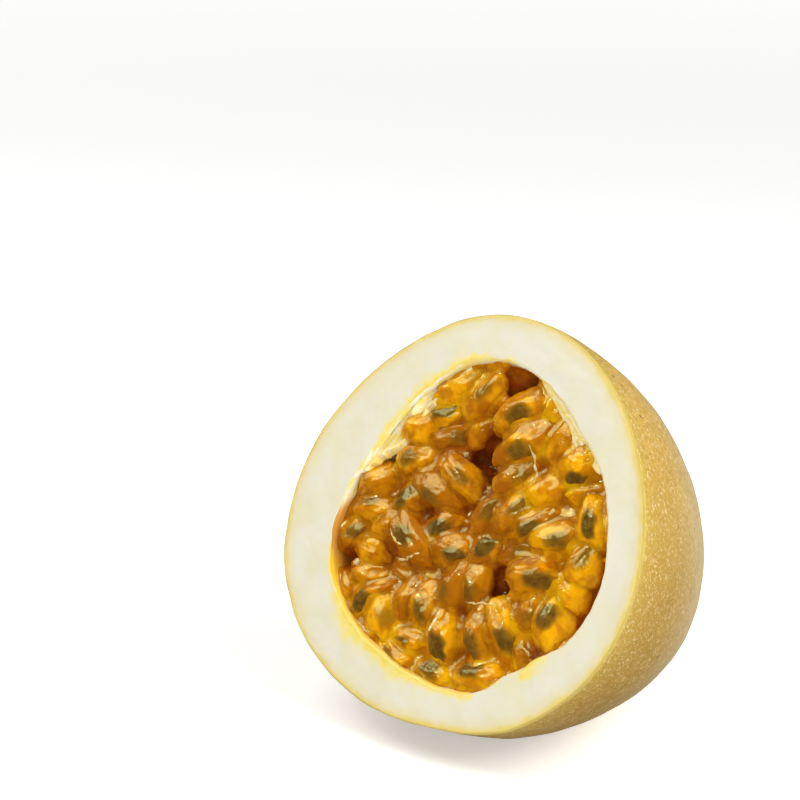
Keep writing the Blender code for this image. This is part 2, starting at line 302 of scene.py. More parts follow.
def make_rind():
    """The whole rind, with what its materials need to know stored on its points."""
    rows = rind_rows()
    ends = [[(0, 0, -SCAR_MIDDLE)], [(*CAVITY_MIDDLE, -CAVITY_DEPTH)]]
    points = np.concatenate(rows + ends)
    from_back = np.hypot(points[:, 0], points[:, 1])
    near_back = points[:, 2] < -BACK
    dent = np.exp(-((from_back / SCAR_RADIUS) ** 2))
    collar = COLLAR * np.exp(-(((from_back - COLLAR_RADIUS) / COLLAR_WIDTH) ** 2))
    points[near_back, 2] += SCAR_DENT * (dent - collar)[near_back]

    placed = in_part(points)
    placed[:, 2] = np.maximum(placed[:, 2], 0)
    mesh = bpy.data.meshes.new("rind_skin_and_pith")
    mesh.from_pydata(placed.tolist(), [], rind_faces(len(rows)))
    kinds = [SKIN] * (SKIN_ROWS - 1) + [PITH] * RING_ROWS + [WALL] * WALL_ROWS
    mesh.polygons.foreach_set("material_index", np.repeat(kinds, AROUND).tolist() + [SKIN, WALL] * AROUND)

    grid = points[:-2].reshape(-1, AROUND, 3)
    from_edge = np.append(np.linalg.norm(grid - rows[SKIN_ROWS - 1], axis=2) / MM, (0, 0))
    from_lip = np.append(np.linalg.norm(grid - rows[SKIN_ROWS + RING_ROWS], axis=2) / MM, (9, 9))
    degrees = np.degrees(np.arctan2(points[:, 1] - CAVITY_MIDDLE[1], points[:, 0] - CAVITY_MIDDLE[0]))
    soak = humps(degrees, JUICE_SOAKS)
    fair = humps(degrees, FAIR_WALLS)
    wet = np.clip(soak - 0.5, 0, 1) * (1 - np.clip(fair, 0, 1)) * np.exp(points[:, 2] / WET_DEPTH)
    store(mesh, "from_edge", from_edge)
    store(mesh, "height", placed[:, 2])
    store(mesh, "depth", -points[:, 2] / MM)
    store(mesh, "juice", juice_on_pith(points, from_lip, soak))
    store(mesh, "scar", np.where(near_back, np.exp(-((from_back / SCAR_STAIN) ** 3)), 0))
    store(mesh, "fair", np.clip(fair, -1, 1))
    store(mesh, "wet", wet)
    around = np.radians(degrees) * CAVITY_RADIUS * SILK_SQUEEZE
    store(mesh, "silk", np.stack((around, -points[:, 2], around * 0), 1))
    return add_piece("rind_skin_and_pith", mesh)


class Surface:
    """A Principled material with short ways to add the textures that colour it."""

    def __init__(self, name, **values):
        self.material = bpy.data.materials.new(name)
        self.material.use_nodes = True
        self.nodes = self.material.node_tree.nodes
        self.links = self.material.node_tree.links
        self.shader = self.nodes["Principled BSDF"]
        for socket, value in values.items():
            self.shader.inputs[socket.replace("_", " ").title().replace("Ior", "IOR")].default_value = value
        self.places = self.nodes.new("ShaderNodeTexCoord").outputs["Object"]

    def feed(self, socket, value):
        """Links an output to a socket, or sets the socket to a plain value."""
        if isinstance(value, bpy.types.NodeSocket):
            self.links.new(value, socket)
        else:
            socket.default_value = value

    def attribute(self, name, output="Fac"):
        """What store kept under a name."""
        node = self.nodes.new("ShaderNodeAttribute")
        node.attribute_name = name
        return node.outputs[output]

    def noise(self, size, detail=3.0, rough=0.55, places=None, distortion=0.0):
        """Noise from 0 to 1 with lumps of about size millimetres."""
        node = self.nodes.new("ShaderNodeTexNoise")
        self.links.new(places or self.places, node.inputs["Vector"])
        node.inputs["Scale"].default_value = 1 / (size * MM)
        node.inputs["Detail"].default_value = detail
        node.inputs["Roughness"].default_value = rough
        node.inputs["Distortion"].default_value = distortion
        return node.outputs["Fac"]

    def dots(self, spacing, radius, share, soft=0.35):
        """Round dots: spacing and radius in millimetres, and the share of places that have one."""
        node = self.nodes.new("ShaderNodeTexVoronoi")
        self.links.new(self.places, node.inputs["Vector"])
        node.inputs["Scale"].default_value = 1 / (spacing * MM)
        reach = radius / spacing
        dot = self.blend(node.outputs["Distance"], reach * (1 - soft), reach * (1 + soft), 1, 0)
        split = self.nodes.new("ShaderNodeSeparateColor")
        self.links.new(node.outputs["Color"], split.inputs[0])
        there = self.blend(split.outputs[0], share - 0.04, share + 0.04, 1, 0)
        size = self.blend(split.outputs[1], 0, 1, 0.4, 1)
        return self.times(self.times(dot, there), size)

    def math(self, operation, a, b=0.0):
        """One step of arithmetic."""
        node = self.nodes.new("ShaderNodeMath")
        node.operation = operation
        self.feed(node.inputs[0], a)
        self.feed(node.inputs[1], b)
        return node.outputs[0]

    def blend(self, value, low, high, to_low=0.0, to_high=1.0):
        """Turns a value's range into another smoothly, clamped at both ends."""
        node = self.nodes.new("ShaderNodeMapRange")
        node.interpolation_type = "SMOOTHSTEP"
        for socket, number in zip(node.inputs, (value, low, high, to_low, to_high)):
            self.feed(socket, number)
        return node.outputs[0]

    def mix(self, share, colour_a, colour_b):
        """The first colour where share is 0, and the second where it is 1."""
        node = self.nodes.new("ShaderNodeMix")
        node.data_type = "RGBA"
        self.feed(node.inputs[0], share)
        for socket, colour in zip(node.inputs[6:8], (colour_a, colour_b)):
            self.feed(socket, (*colour, 1) if isinstance(colour, tuple) else colour)
        return node.outputs[2]

    def paint(self, colour, *coats):
        """Lays coats over a colour, one after another. Each is how much there is of it, and its colour."""
        for share, coat in coats:
            colour = self.mix(share, colour, coat)
        return colour

    def times(self, a, b):
        return self.math("MULTIPLY", a, b)

    def bump(self, height, strength, distance):
        """Adds relief; distance is its full height in millimetres."""
        node = self.nodes.new("ShaderNodeBump")
        node.inputs["Strength"].default_value = strength
        node.inputs["Distance"].default_value = distance * MM
        self.feed(node.inputs["Height"], height)
        socket = self.shader.inputs["Normal"]
        if socket.is_linked:
            self.links.new(socket.links[0].from_socket, node.inputs["Normal"])
        self.links.new(node.outputs[0], socket)

    def finish(self, colour, roughness=None):
        """Puts the colour and the roughness in, and gives the finished material."""
        self.feed(self.shader.inputs["Base Color"], colour)
        if roughness is not None:
            self.feed(self.shader.inputs["Roughness"], roughness)
        return self.material


def skin_surface():
    """Ochre skin, straw at the sides, browner underneath as painted shade, with fine pale flecks and a few
    dark pores.
    """
    wax = {"coat_weight": 0.12, "coat_roughness": 0.3}
    s = Surface("mottled_yellow_skin", roughness=0.42, specular_ior_level=0.45, **wax)
    from_edge, depth = s.attribute("from_edge"), s.attribute("depth")
    # painted shade: low is strongest at the bottom of the fruit, which is painted browner and has fainter
    # flecks
    low = s.blend(s.attribute("height"), 0.019, 0.074, 0.9, 0)
    pale = s.blend(low, 0, 0.88, 1, 0.5)
    near_cut = s.times(s.blend(from_edge, 0.2, 6.5, 0.65, 0), pale)
    patches = s.times(s.blend(s.noise(1.0, 3, 0.7), 0.45, 0.62, 0, 0.6), s.blend(depth, 18, 40, 1, 0.4))
    flecks = s.times(s.blend(s.noise(0.65, 3, 0.7), 0.53, 0.70, 0, 0.65), pale)
    spots = s.times(s.times(s.dots(1.1, 0.24, 0.7), 0.6), pale)
    colour = s.paint(
        s.mix(s.blend(s.noise(15, 4), 0.35, 0.65), (0.68, 0.41, 0.075), (0.74, 0.47, 0.10)),
        (s.blend(s.noise(5, 4), 0.52, 0.75, 0, 0.55), (0.55, 0.30, 0.04)),  # tan clouds
        (s.blend(depth, 6, 32, 0, 0.8), (0.93, 0.76, 0.44)),  # straw away from the cut
        # painted shade: darker brown underneath
        (low, (0.33, 0.19, 0.022)),  # brown underneath
        (s.blend(depth, 12, 36, 0, 0.55), (0.90, 0.77, 0.50)),  # a cream bloom at the sides
        (s.blend(depth, 24, 46, 0, 0.7), (0.78, 0.56, 0.17)),  # honey at the back
        (near_cut, (0.55, 0.39, 0.045)),  # olive yellow
        (patches, (0.47, 0.27, 0.05)),  # brown
        (flecks, (0.93, 0.82, 0.50)),  # cream
        (spots, (0.96, 0.84, 0.55)),  # cream
        (s.times(s.dots(0.55, 0.18, 0.7), 0.35), (0.88, 0.70, 0.34)),  # fine straw specks
        (s.times(s.dots(1.8, 0.24, 0.45), 0.6), (0.24, 0.12, 0.02)),  # brown pores
        (s.times(s.dots(5.0, 0.36, 0.4, 0.16), 0.85), (0.06, 0.035, 0.02)),  # a few black pores
        (s.blend(from_edge, 0.25, 0.8, 0.6, 0), (0.60, 0.46, 0.11)),  # yellow at the cut
        (s.attribute("scar"), (0.11, 0.05, 0.02)),  # dry brown
    )
    s.bump(s.noise(0.9, 2), 0.35, 0.12)
    s.bump(s.noise(3.2, 2), 0.4, 0.3)
    return s.finish(colour, s.blend(s.noise(2.0, 3), 0.3, 0.7, 0.36, 0.5))


def pith_surface():
    """Spongy white pith, yellower towards the skin, and stained where juice has soaked in."""
    soft = {"subsurface_weight": 0.35, "subsurface_scale": 1.6 * MM}
    s = Surface("white_pith", roughness=0.6, specular_ior_level=0.3, **soft)
    s.shader.inputs["Subsurface Radius"].default_value = (1.0, 0.8, 0.55)
    from_edge = s.attribute("from_edge")
    inward = s.math("ADD", from_edge, s.blend(s.noise(3.0, 3), 0, 1, -0.55, 0.55))
    juice = s.times(s.attribute("juice"), s.blend(s.noise(0.9, 3, 0.6), 0.3, 0.7, 0.88, 1.08))
    colour = s.paint(
        s.mix(s.blend(s.noise(7, 3), 0.35, 0.7), (0.795, 0.762, 0.62), (0.79, 0.735, 0.51)),
        (s.blend(inward, 0.8, 3.4, 0.7, 0), (0.78, 0.69, 0.39)),  # cream near the skin
        (s.blend(inward, 0.3, 1.5, 0.85, 0), (0.78, 0.61, 0.13)),  # yellow next to it
        (s.blend(from_edge, 0.15, 0.5, 0.85, 0), (0.50, 0.38, 0.10)),  # the skin's own thin edge
        (s.blend(juice, 0.05, 0.6, 0, 0.85), (0.92, 0.74, 0.14)),  # lemon where juice has soaked in
        (s.blend(juice, 0.55, 0.98, 0, 0.65), (0.92, 0.60, 0.03)),  # golden where it stands
    )
    s.bump(s.noise(0.5, 3), 0.25, 0.08)
    return s.finish(colour, s.blend(juice, 0.3, 0.8, 0.6, 0.18))


def membrane_surface():
    """The hollow's silky lining: white and gold fibres at the lip, amber and then brown lower down, partly
    juice stain and partly painted shade.
    """
    soft = {"subsurface_weight": 0.5, "subsurface_scale": 2 * MM}
    s = Surface("silky_membrane", roughness=0.3, specular_ior_level=0.5, **soft)
    s.shader.inputs["Subsurface Radius"].default_value = (1.0, 0.85, 0.5)
    threads = s.noise(0.55, 4, 0.65, s.attribute("silk", "Vector"))
    stain_and_shade_depth = s.math("SUBTRACT", s.attribute("depth"), s.times(s.attribute("fair"), 9))
    colour = s.paint(
        s.mix(s.blend(threads, 0.40, 0.62), (0.96, 0.76, 0.17), (0.97, 0.94, 0.80)),
        # partly juice stain, partly painted shade: amber and then brown deeper down the wall, less where
        # the wall is fair
        (s.blend(stain_and_shade_depth, 0.5, 4.0, 0, 0.92), (0.68, 0.32, 0.04)),
        (s.blend(stain_and_shade_depth, 3.5, 10.0, 0, 0.9), (0.46, 0.16, 0.012)),
        (s.blend(s.attribute("wet"), 0.1, 0.6, 0, 0.85), (0.86, 0.55, 0.03)),
    )
    s.bump(threads, 0.5, 0.2)
    return s.finish(colour)


rind = make_rind()
for surface in (skin_surface(), pith_surface(), membrane_surface()):
    rind.data.materials.append(surface)
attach(rind, "root")
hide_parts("rind")


# --------------------
# The juice sacs: 58 thin wet skins full of amber juice, each round its own dark seed. Each hangs from
# the wall by a thin stalk and is pressed against its neighbours; its skin is wrinkled where it lies slack.

SAC_VOXEL = 0.25 * MM
SAC_SMOOTHING = 6
SAC_INFLATION = 0.38 * MM
SAC_LUMP = 3.6 * MM
CROWN = 0.9 * MM
# how much prouder some sacs stand, in mm
PROUD = {
    8: 0.8, 9: 0.8, 14: 0.8, 19: 0.4, 22: 0.9, 26: 1.0, 28: 0.6, 29: 0.6, 33: 0.5, 37: 0.4, 45: 0.5,
}
# painted light and shade on the pulp: places painted lighter, where more light gets in, and darker, where
# they lie in shade: across, up, radius in mm, how much lighter
PAINTED_LIGHT_AND_SHADE = (
    (-22, 7, 5, 0.4), (7.5, 16, 4, 0.3), (9.5, 6, 4, 0.45), (19.5, 0.5, 4, 0.3), (29, -3, 5, 0.45),
    (-10, 24, 5, 0.25), (21, -23, 3, 0.3), (-9, 12.5, 4, -0.5), (-3, 17.5, 4, -0.35), (-9, 0.5, 4.5, -0.5),
    (-12.5, -7, 5, -0.35), (6, -14.5, 4.5, -0.3), (22, -17, 2.0, -1.2), (1.5, 13.5, 2.6, -0.8),
)
FACETS = 8  # small flats where a sac's slack skin lies smooth
POINT_DROP = 1.2 * MM  # how far a sac's pointed end lies below the rest
SEED_FULLNESS = 2.6  # 2 is an ellipse, more is fuller
SHADE_DEPTHS = (-9 * MM, -1 * MM)  # below the first no light gets in, and above the second all of it
RAY_START = 0.25 * MM
RAY_REACH = 14 * MM
DARK_SIDE = (6 * MM, 24 * MM)  # how far to the left the pulp begins to be darker, and is darkest

# the seeds that show through: sac, across, up, heading in degrees, length, width, blur, darkness
SEEDS = (
    (2, -13.0, 18.6, 15, 6.2, 3.6, 0.15, 1.0), (3, -8.2, 14.7, 20, 5.0, 3.0, 0.5, 0.6),
    (5, -17.0, 8.7, 25, 4.4, 3.4, 0.35, 0.65), (6, -4.8, 23.5, -120, 5.2, 2.6, 0.5, 0.55),
    (8, 5.0, 21.3, -134, 5.2, 3.6, 0.25, 0.85), (9, 7.4, 15.1, -136, 5.2, 3.4, 0.35, 0.8),
    (12, 19.8, 12.7, -165, 5.4, 3.0, 0.2, 1.0), (14, 8.8, 11.4, -140, 4.8, 3.0, 0.5, 0.6),
    (17, 3.7, 4.0, -114, 5.0, 3.0, 0.45, 0.7), (18, 10.3, 5.9, -130, 4.8, 3.0, 0.4, 0.7),
    (19, 13.7, 2.7, -145, 5.2, 3.0, 0.3, 0.9), (20, 20.4, 2.2, -154, 5.2, 3.4, 0.3, 0.8),
    (22, 19.4, -5.1, -166, 5.4, 3.6, 0.35, 0.85), (23, 26.0, 6.4, -75, 5.6, 3.0, 0.2, 0.95),
    (24, 26.5, 0.8, -106, 5.2, 3.0, 0.4, 0.6), (26, 23.6, -10.6, -88, 5.0, 4.2, 0.25, 0.95),
    (27, 19.4, -11.4, -117, 4.6, 3.0, 0.5, 0.5), (28, 16.0, -16.6, 128, 5.2, 3.6, 0.35, 0.9),
    (29, 9.7, -19.3, 106, 5.2, 3.6, 0.35, 0.85), (30, 5.0, -10.8, 103, 5.0, 3.2, 0.45, 0.7),
    (31, 5.1, -2.3, 60, 5.4, 3.4, 0.2, 1.0), (32, 0.5, -12.0, 88, 4.8, 3.0, 0.5, 0.55),
    (33, 2.6, -21.8, 100, 6.0, 3.9, 0.12, 1.0), (34, -3.3, -16.6, 109, 5.2, 3.4, 0.4, 0.75),
    (36, -10.7, -19.5, 125, 5.0, 2.8, 0.5, 0.5), (37, -17.2, -18.3, 55, 5.4, 3.3, 0.15, 1.0),
    (41, 2.4, -25.5, -10, 5.4, 3.6, 0.35, 0.8), (42, 10.8, -23.3, 10, 5.2, 3.8, 0.35, 0.85),
    (44, -4.6, 8.0, -28, 5.2, 3.2, 0.5, 0.55), (45, -9.5, 3.1, -17, 5.0, 3.2, 0.45, 0.7),
    (46, -5.9, -1.7, -160, 5.2, 3.4, 0.25, 0.95), (47, -0.1, -5.4, -5, 5.0, 3.0, 0.3, 0.9),
    (48, -11.8, -4.9, -34, 5.4, 3.6, 0.4, 0.85), (49, -15.2, 1.9, 49, 5.2, 3.8, 0.3, 0.95),
    (51, -22.6, 0.0, 13, 4.6, 3.2, 0.4, 0.8), (53, -23.3, -6.6, 35, 5.0, 3.4, 0.45, 0.75),
    (1, -8.0, 25.6, 40, 4.8, 3.0, 0.6, 0.35), (21, 12.2, -1.2, -158, 4.8, 2.8, 0.5, 0.5),
    (38, -6.0, -22.6, 10, 4.4, 2.0, 0.3, 0.7), (40, -8.2, -25.4, -28, 5.0, 2.4, 0.3, 0.6),
)


def add_remesh(rough, voxel, smoothing):
    """Makes a rough shape's mesh fine and even, and rounds its crisp edges."""
    fine = rough.modifiers.new("remesh", "REMESH")
    fine.mode = "VOXEL"
    fine.voxel_size = voxel
    smooth = rough.modifiers.new("smooth", "SMOOTH")
    smooth.factor = 0.5
    smooth.iterations = smoothing


def finished_mesh(rough):
    """The mesh that a rough shape's modifiers give. The rough shape itself goes."""
    evaluated = rough.evaluated_get(bpy.context.evaluated_depsgraph_get())
    mesh = bpy.data.meshes.new_from_object(evaluated)
    mesh.materials.clear()
    bpy.data.objects.remove(rough)
    return mesh


def remeshed(node, voxel, smoothing):
    """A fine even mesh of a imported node."""
    rough = add_piece("rough_shape", node.data.copy())
    rough.modifiers.new("weld", "WELD").merge_threshold = 0.001 * MM
    add_remesh(rough, voxel, smoothing)
    return finished_mesh(rough)


def laid_out(mesh):
    """A mesh's points, and its normals at them."""
    both = []
    for source, what in ((mesh.vertices, "co"), (mesh.vertex_normals, "vector")):
        numbers = np.empty(len(source) * 3, np.float32)
        source.foreach_get(what, numbers)
        both.append(numbers.reshape(-1, 3).astype(float))
    return both


def set_points(mesh, points):
    mesh.vertices.foreach_set("co", np.asarray(points, np.float32).ravel())
    mesh.update()


def long_axes(flat_points):
    """A sac's axes on the cut face, the long one first, with its half sizes along them."""
    middle = (flat_points.max(0) + flat_points.min(0)) / 2
    spread = flat_points - flat_points.mean(0)
    _, vectors = np.linalg.eigh(spread.T @ spread)
    axes = vectors[:, ::-1]
    reach = (flat_points - middle) @ axes
    return middle, axes, (reach.max(0) - reach.min(0)) / 2


def along_sac(placed, axes):
    """Points turned so that their first coordinate runs along the sac."""
    turned = placed.copy()
    turned[:, :2] = placed[:, :2] @ axes
    return turned


def wrinkle(turned, number):
    """The height of a sac's wrinkles in millimetres: creases that run mostly along it."""
    creases = np.abs(wobble(turned, 2.4 * MM, (2.2, 1, 1), seed=number))
    folds = np.abs(wobble(turned, 1.1 * MM, (2.4, 1, 1), seed=number + 0.37))
    ridges = 1 - np.abs(wobble(turned, 2.0 * MM, (2.6, 1, 1), seed=number + 0.71))
    sharp_ridges = np.clip(ridges - 0.72, 0, 1) / 0.28
    return 0.30 * creases + 0.13 * folds + 0.10 * sharp_ridges - 0.12


def press(turned, way, deep):
    """Presses one flat into a sac, square to the direction way."""
    way = way / np.linalg.norm(way)
    height = turned @ way
    limit = height.max() - deep
    return turned - way * (0.94 * np.clip(height - limit, 0, None))[:, None]


def flatten(turned, axes, number):
    """Presses flats into a sac's outer side, as slack skin over juice has: one looks up the cut face."""
    draw = np.random.default_rng(number)
    upper = np.array((0.10 + draw.uniform(-0.12, 0.12), 0.37 + draw.uniform(-0.16, 0.16), 0.92))
    upper[:2] = upper[:2] @ axes
    turned = press(turned, upper, draw.uniform(0.6, 1.2) * MM)
    for k in range(FACETS):
        around = math.tau * (k * 0.618 + draw.uniform(0, 0.1))
        tilt = math.radians(8 + 56 * k / FACETS + draw.uniform(-6, 6))
        way = np.array((0.7 * math.cos(around), math.sin(around), 0)) * math.sin(tilt)
        way[2] = math.cos(tilt)
        turned = press(turned, way, draw.uniform(0.2, 0.7) * MM)
    return turned


def make_sac(number, node):
    """One sac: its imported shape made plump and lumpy, pointed at one end, pressed flat and wrinkled."""
    mesh = remeshed(node, SAC_VOXEL, SAC_SMOOTHING)
    points, normals = laid_out(mesh)
    placed = on_face(points)
    middle, axes, half = long_axes(placed[:, :2])
    share = (placed[:, :2] - middle) @ axes / half
    facing = np.clip(normals @ FACE_OUT, 0, 1)
    crown = (CROWN + PROUD.get(number, 0) * MM) * np.clip(1 - (share**2).sum(1), 0, 1) * facing
    lumps = 0.42 * MM * wobble(along_sac(placed, axes), SAC_LUMP, (1.8, 1, 1), seed=number + 0.6)
    placed = on_face(points + normals * (SAC_INFLATION + lumps)[:, None] + FACE_OUT * crown[:, None])
    turned = along_sac(placed, axes)
    pointed = 0.5 * soft_step(0.3, 1.1, share[:, 0] * (1 if number % 2 else -1))
    spine = (middle @ axes)[1]
    turned[:, 1] = spine + (turned[:, 1] - spine) * (1 - pointed)
    turned[:, 2] -= POINT_DROP * pointed * facing
    turned = flatten(turned, axes, number)
    set_points(mesh, in_part(along_sac(turned, axes.T)))
    points, normals = laid_out(mesh)
    lift = wrinkle(turned, number) * MM * soft_step(0.0, 0.6, facing)
    set_points(mesh, points + normals * lift[:, None])
    return add_piece(node.name.replace("juice_sac", "wet_juice_sac"), mesh)


def seed_shade(placed, seeds):
    """How strongly the seeds show through a sac at each point, from 0 to 1."""
    shade = np.zeros(len(placed))
    for across, up, heading, length, width, blur, darkness in seeds:
        turn = math.radians(heading)
        away = placed[:, :2] / MM - np.array((across, up))
        along = away @ np.array((math.cos(turn), math.sin(turn))) / (length * 0.46)
        aside = away @ np.array((-math.sin(turn), math.cos(turn))) / (width * 0.45)
        ring = (np.abs(along) ** SEED_FULLNESS + np.abs(aside) ** SEED_FULLNESS) ** (1 / SEED_FULLNESS)
        ring += 0.16 * wobble(placed, 1.4 * MM, seed=length)
        soft = 0.2 + 1.1 * blur
        shade = np.maximum(shade, darkness * (1 - soft_step(0.95 - soft, 0.95 + soft, ring)))
    return shade


def painted_light_and_shade(placed):
    """How much painted light (above 0) or painted shade (below 0) the pulp has at each point."""
    total = np.zeros(len(placed))
    for across, up, radius, size in PAINTED_LIGHT_AND_SHADE:
        away = np.linalg.norm(placed[:, :2] / MM - (across, up), axis=1)
        total += size * np.exp(-((away / radius) ** 2))
    return total


# ways to the open side, in rings of 3, 5 and 6 that tilt more and more
SKY = [
    Vector(TO_PART[:3, :3] @ np.array((math.sin(t) * math.cos(a), math.sin(t) * math.sin(a), math.cos(t))))
    for t, count in ((0.25, 3), (0.75, 5), (1.2, 6))
    for a in (math.tau * (k + t) / count for k in range(count))
]


def pulp_tone(places):
    """How dark the pulp is at places of the cut: darkest in the middle, and darker on the left."""
    from_middle = np.linalg.norm(places[..., :2] - CAVITY_MIDDLE, axis=-1) / CAVITY_RADIUS
    return 1.2 - 1.15 * from_middle + 0.45 * soft_step(*DARK_SIDE, -places[..., 0])


def openness(points, normals, around):
    """How much light from the open side reaches each point past its neighbours, from 0 to 1."""
    seen = np.zeros(len(points))
    for i, (point, normal) in enumerate(zip(points.tolist(), normals.tolist())):
        start = Vector(point) + Vector(normal) * RAY_START
        seen[i] = sum(around.ray_cast(start, way, RAY_REACH)[0] is None for way in SKY)
    return seen / len(SKY) * soft_step(*SHADE_DEPTHS, on_face(points)[:, 2])


def spread_out(mesh, values, rounds):
    """Averages values with those of the points next to them, over the mesh."""
    edges = np.empty(len(mesh.edges) * 2, np.int32)
    mesh.edges.foreach_get("vertices", edges)
    a, b = edges.reshape(-1, 2).T
    count = np.bincount(a, minlength=len(values)) + np.bincount(b, minlength=len(values))
    for _ in range(rounds):
        total = np.bincount(a, values[b], len(values)) + np.bincount(b, values[a], len(values))
        values = (values + total) / (1 + count)
    return values


def joined_tree(pieces):
    """One search tree of several meshes, for finding what hides what."""
    vertices, faces = [], []
    for piece in pieces:
        start = len(vertices)
        vertices += [tuple(v.co) for v in piece.data.vertices]
        faces += [tuple(start + i for i in f.vertices) for f in piece.data.polygons]
    return BVHTree.FromPolygons(vertices, faces)


def sac_surface(name="wet_juice_sac"):
    """Amber juice in a wet skin, with painted light and shade: golden in the open, red-brown as painted
    shade in the gaps, dark where a seed shows.
    """
    soft = {"subsurface_weight": 0.5, "subsurface_scale": 2 * MM}
    s = Surface(name, roughness=0.03, specular_ior_level=1.0, ior=1.6, **soft)
    s.shader.inputs["Specular Tint"].default_value = (0.61, 0.74, 0.31, 1)
    s.shader.inputs["Subsurface Radius"].default_value = (1.0, 0.55, 0.10)
    light = s.math("ADD", s.attribute("open"), s.blend(s.noise(1.7, 3), 0.3, 0.7, -0.14, 0.14))
    tone = s.math("ADD", s.attribute("tone"), s.blend(s.noise(3.0, 2), 0.36, 0.64, -0.32, 0.32))
    seed = s.attribute("seed")
    golden = s.paint(
        s.mix(s.blend(tone, 0.3, 1.0), (0.70, 0.28, 0.001), (0.46, 0.145, 0.001)),
        (s.blend(tone, 0.0, 0.4, 1, 0), (0.90, 0.43, 0.001)),
    )
    amber = s.mix(tone, (0.62, 0.18, 0.001), (0.33, 0.065, 0.001))
    shaded_red_brown = s.mix(tone, (0.50, 0.11, 0.001), (0.20, 0.030, 0.001))
    olive = s.mix(s.blend(s.noise(1.3, 2), 0.35, 0.65), (0.085, 0.042, 0.006), (0.19, 0.098, 0.010))
    # painted light and shade: golden where light from the open side reaches, amber in half shade, red-brown
    # in the shaded gaps
    colour = s.paint(
        s.mix(s.blend(light, 0.15, 0.65), amber, golden),
        (s.blend(light, 0.0, 0.26, 0.95, 0), shaded_red_brown),
        (s.blend(seed, 0.0, 0.55, 0, 0.75), (0.29, 0.125, 0.005)),  # brown juice round the seed
        (s.blend(seed, 0.30, 0.95, 0, 0.93), olive),
    )
    s.bump(s.noise(1.1, 2, 0.5, distortion=1.2), 0.5, 0.18)
    crumpled = s.blend(s.noise(3.6, 1), 0.50, 0.64)
    folds = s.math("ABSOLUTE", s.math("SUBTRACT", s.noise(0.95, 1, 0.5, distortion=0.8), 0.5))
    s.bump(s.times(s.blend(folds, 0.0, 0.12), crumpled), 0.5, 0.14)
    return s.finish(colour)


sac_material = sac_surface()
sac_nodes = {int(name[-2:]): node for name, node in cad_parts.items() if name.startswith("juice_sac")}
sacs = {number: make_sac(number, node) for number, node in sorted(sac_nodes.items())}
neighbours = joined_tree([*sacs.values(), rind])
for number, sac in sacs.items():
    points, normals = laid_out(sac.data)
    placed = on_face(points)
    seeds = [seed[1:] for seed in SEEDS if seed[0] == number]
    seen = openness(points, normals, neighbours)
    tone = pulp_tone(placed.mean(0)) + 0.25 * math.sin(number * 2.4)
    store(sac.data, "open", spread_out(sac.data, seen, 4) + 0.5 * painted_light_and_shade(placed))
    store(sac.data, "seed", seed_shade(placed, seeds))
    store(sac.data, "tone", np.clip(tone - painted_light_and_shade(placed), -0.2, 1.2))
    sac.data.materials.append(sac_material)
    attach(sac, "root")
    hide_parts(f"juice_sac_{number:02d}")


# --------------------
# The juice that has run out of cut and burst sacs: it lies in the valleys between them and sticks them
# together. It is a clear amber syrup, held there by its own stickiness.

JUICE_VOXEL = 0.4 * MM
JUICE_FILLET = 1.0 * MM  # how round it lies in the valleys
JUICE_SINK = 0.26 * MM  # how far it lies below the sacs' own skins
POOL_DEPTH = 7.0 * MM
POOL_THICK = 2 * MM
POOL_ROWS = 50
BAND_THICK = 1.6 * MM
BAND_DEPTHS = (0.8, 2.5, 4.5, 7, 10)  # in mm
DRY_WALL = (150, 34)  # where the juice has drawn back from the wall: where in degrees, spread


def belt(name, rows, step=1):
    """A closed belt of faces round the hollow, through every step-th point of its rows."""
    faces = []
    for a in range(len(rows)):
        b = (a + 1) % len(rows)
        for i in range(0, AROUND, step):
            j = (i + step) % AROUND
            faces.append((a * AROUND + i, b * AROUND + i, b * AROUND + j, a * AROUND + j))
    mesh = bpy.data.meshes.new(name)
    mesh.from_pydata(in_part(np.concatenate(rows)).tolist(), [], faces)
    return mesh


def wall_band():
    """A closed band of the wall just below the cut, for the juice to cling to."""
    dry = BAND_THICK * np.exp(-((nearest_turn(DEGREES, DRY_WALL[0]) / DRY_WALL[1]) ** 4))[:, None]
    away = unit(wall_row(0) - (*CAVITY_MIDDLE, 0))
    rows = [wall_row(depth * MM) + away * dry for depth in BAND_DEPTHS]
    return belt("wall_band", rows + [row + away * BAND_THICK for row in rows[::-1]])


def pool():
    """A closed lumpy slab across the hollow: the level of the juice in the gaps."""
    shares = np.linspace(0.02, 1, POOL_ROWS)
    rows = []
    for depth, order in ((POOL_DEPTH, shares[::-1]), (POOL_DEPTH + POOL_THICK, shares)):
        edge = wall_row(depth)
        middle = np.array((*CAVITY_MIDDLE, -depth))
        rows += [middle + (edge - middle) * share for share in order]
    return belt("pool", [raised(row, 1.1 * wobble(row, 4 * MM, seed=41)) for row in rows], 4)


def closed_mesh(name, bm):
    """A mesh of what has been put together in bm, with its faces turned outwards."""
    bmesh.ops.recalc_face_normals(bm, faces=bm.faces)
    mesh = bpy.data.meshes.new(name)
    bm.to_mesh(mesh)
    bm.free()
    return mesh


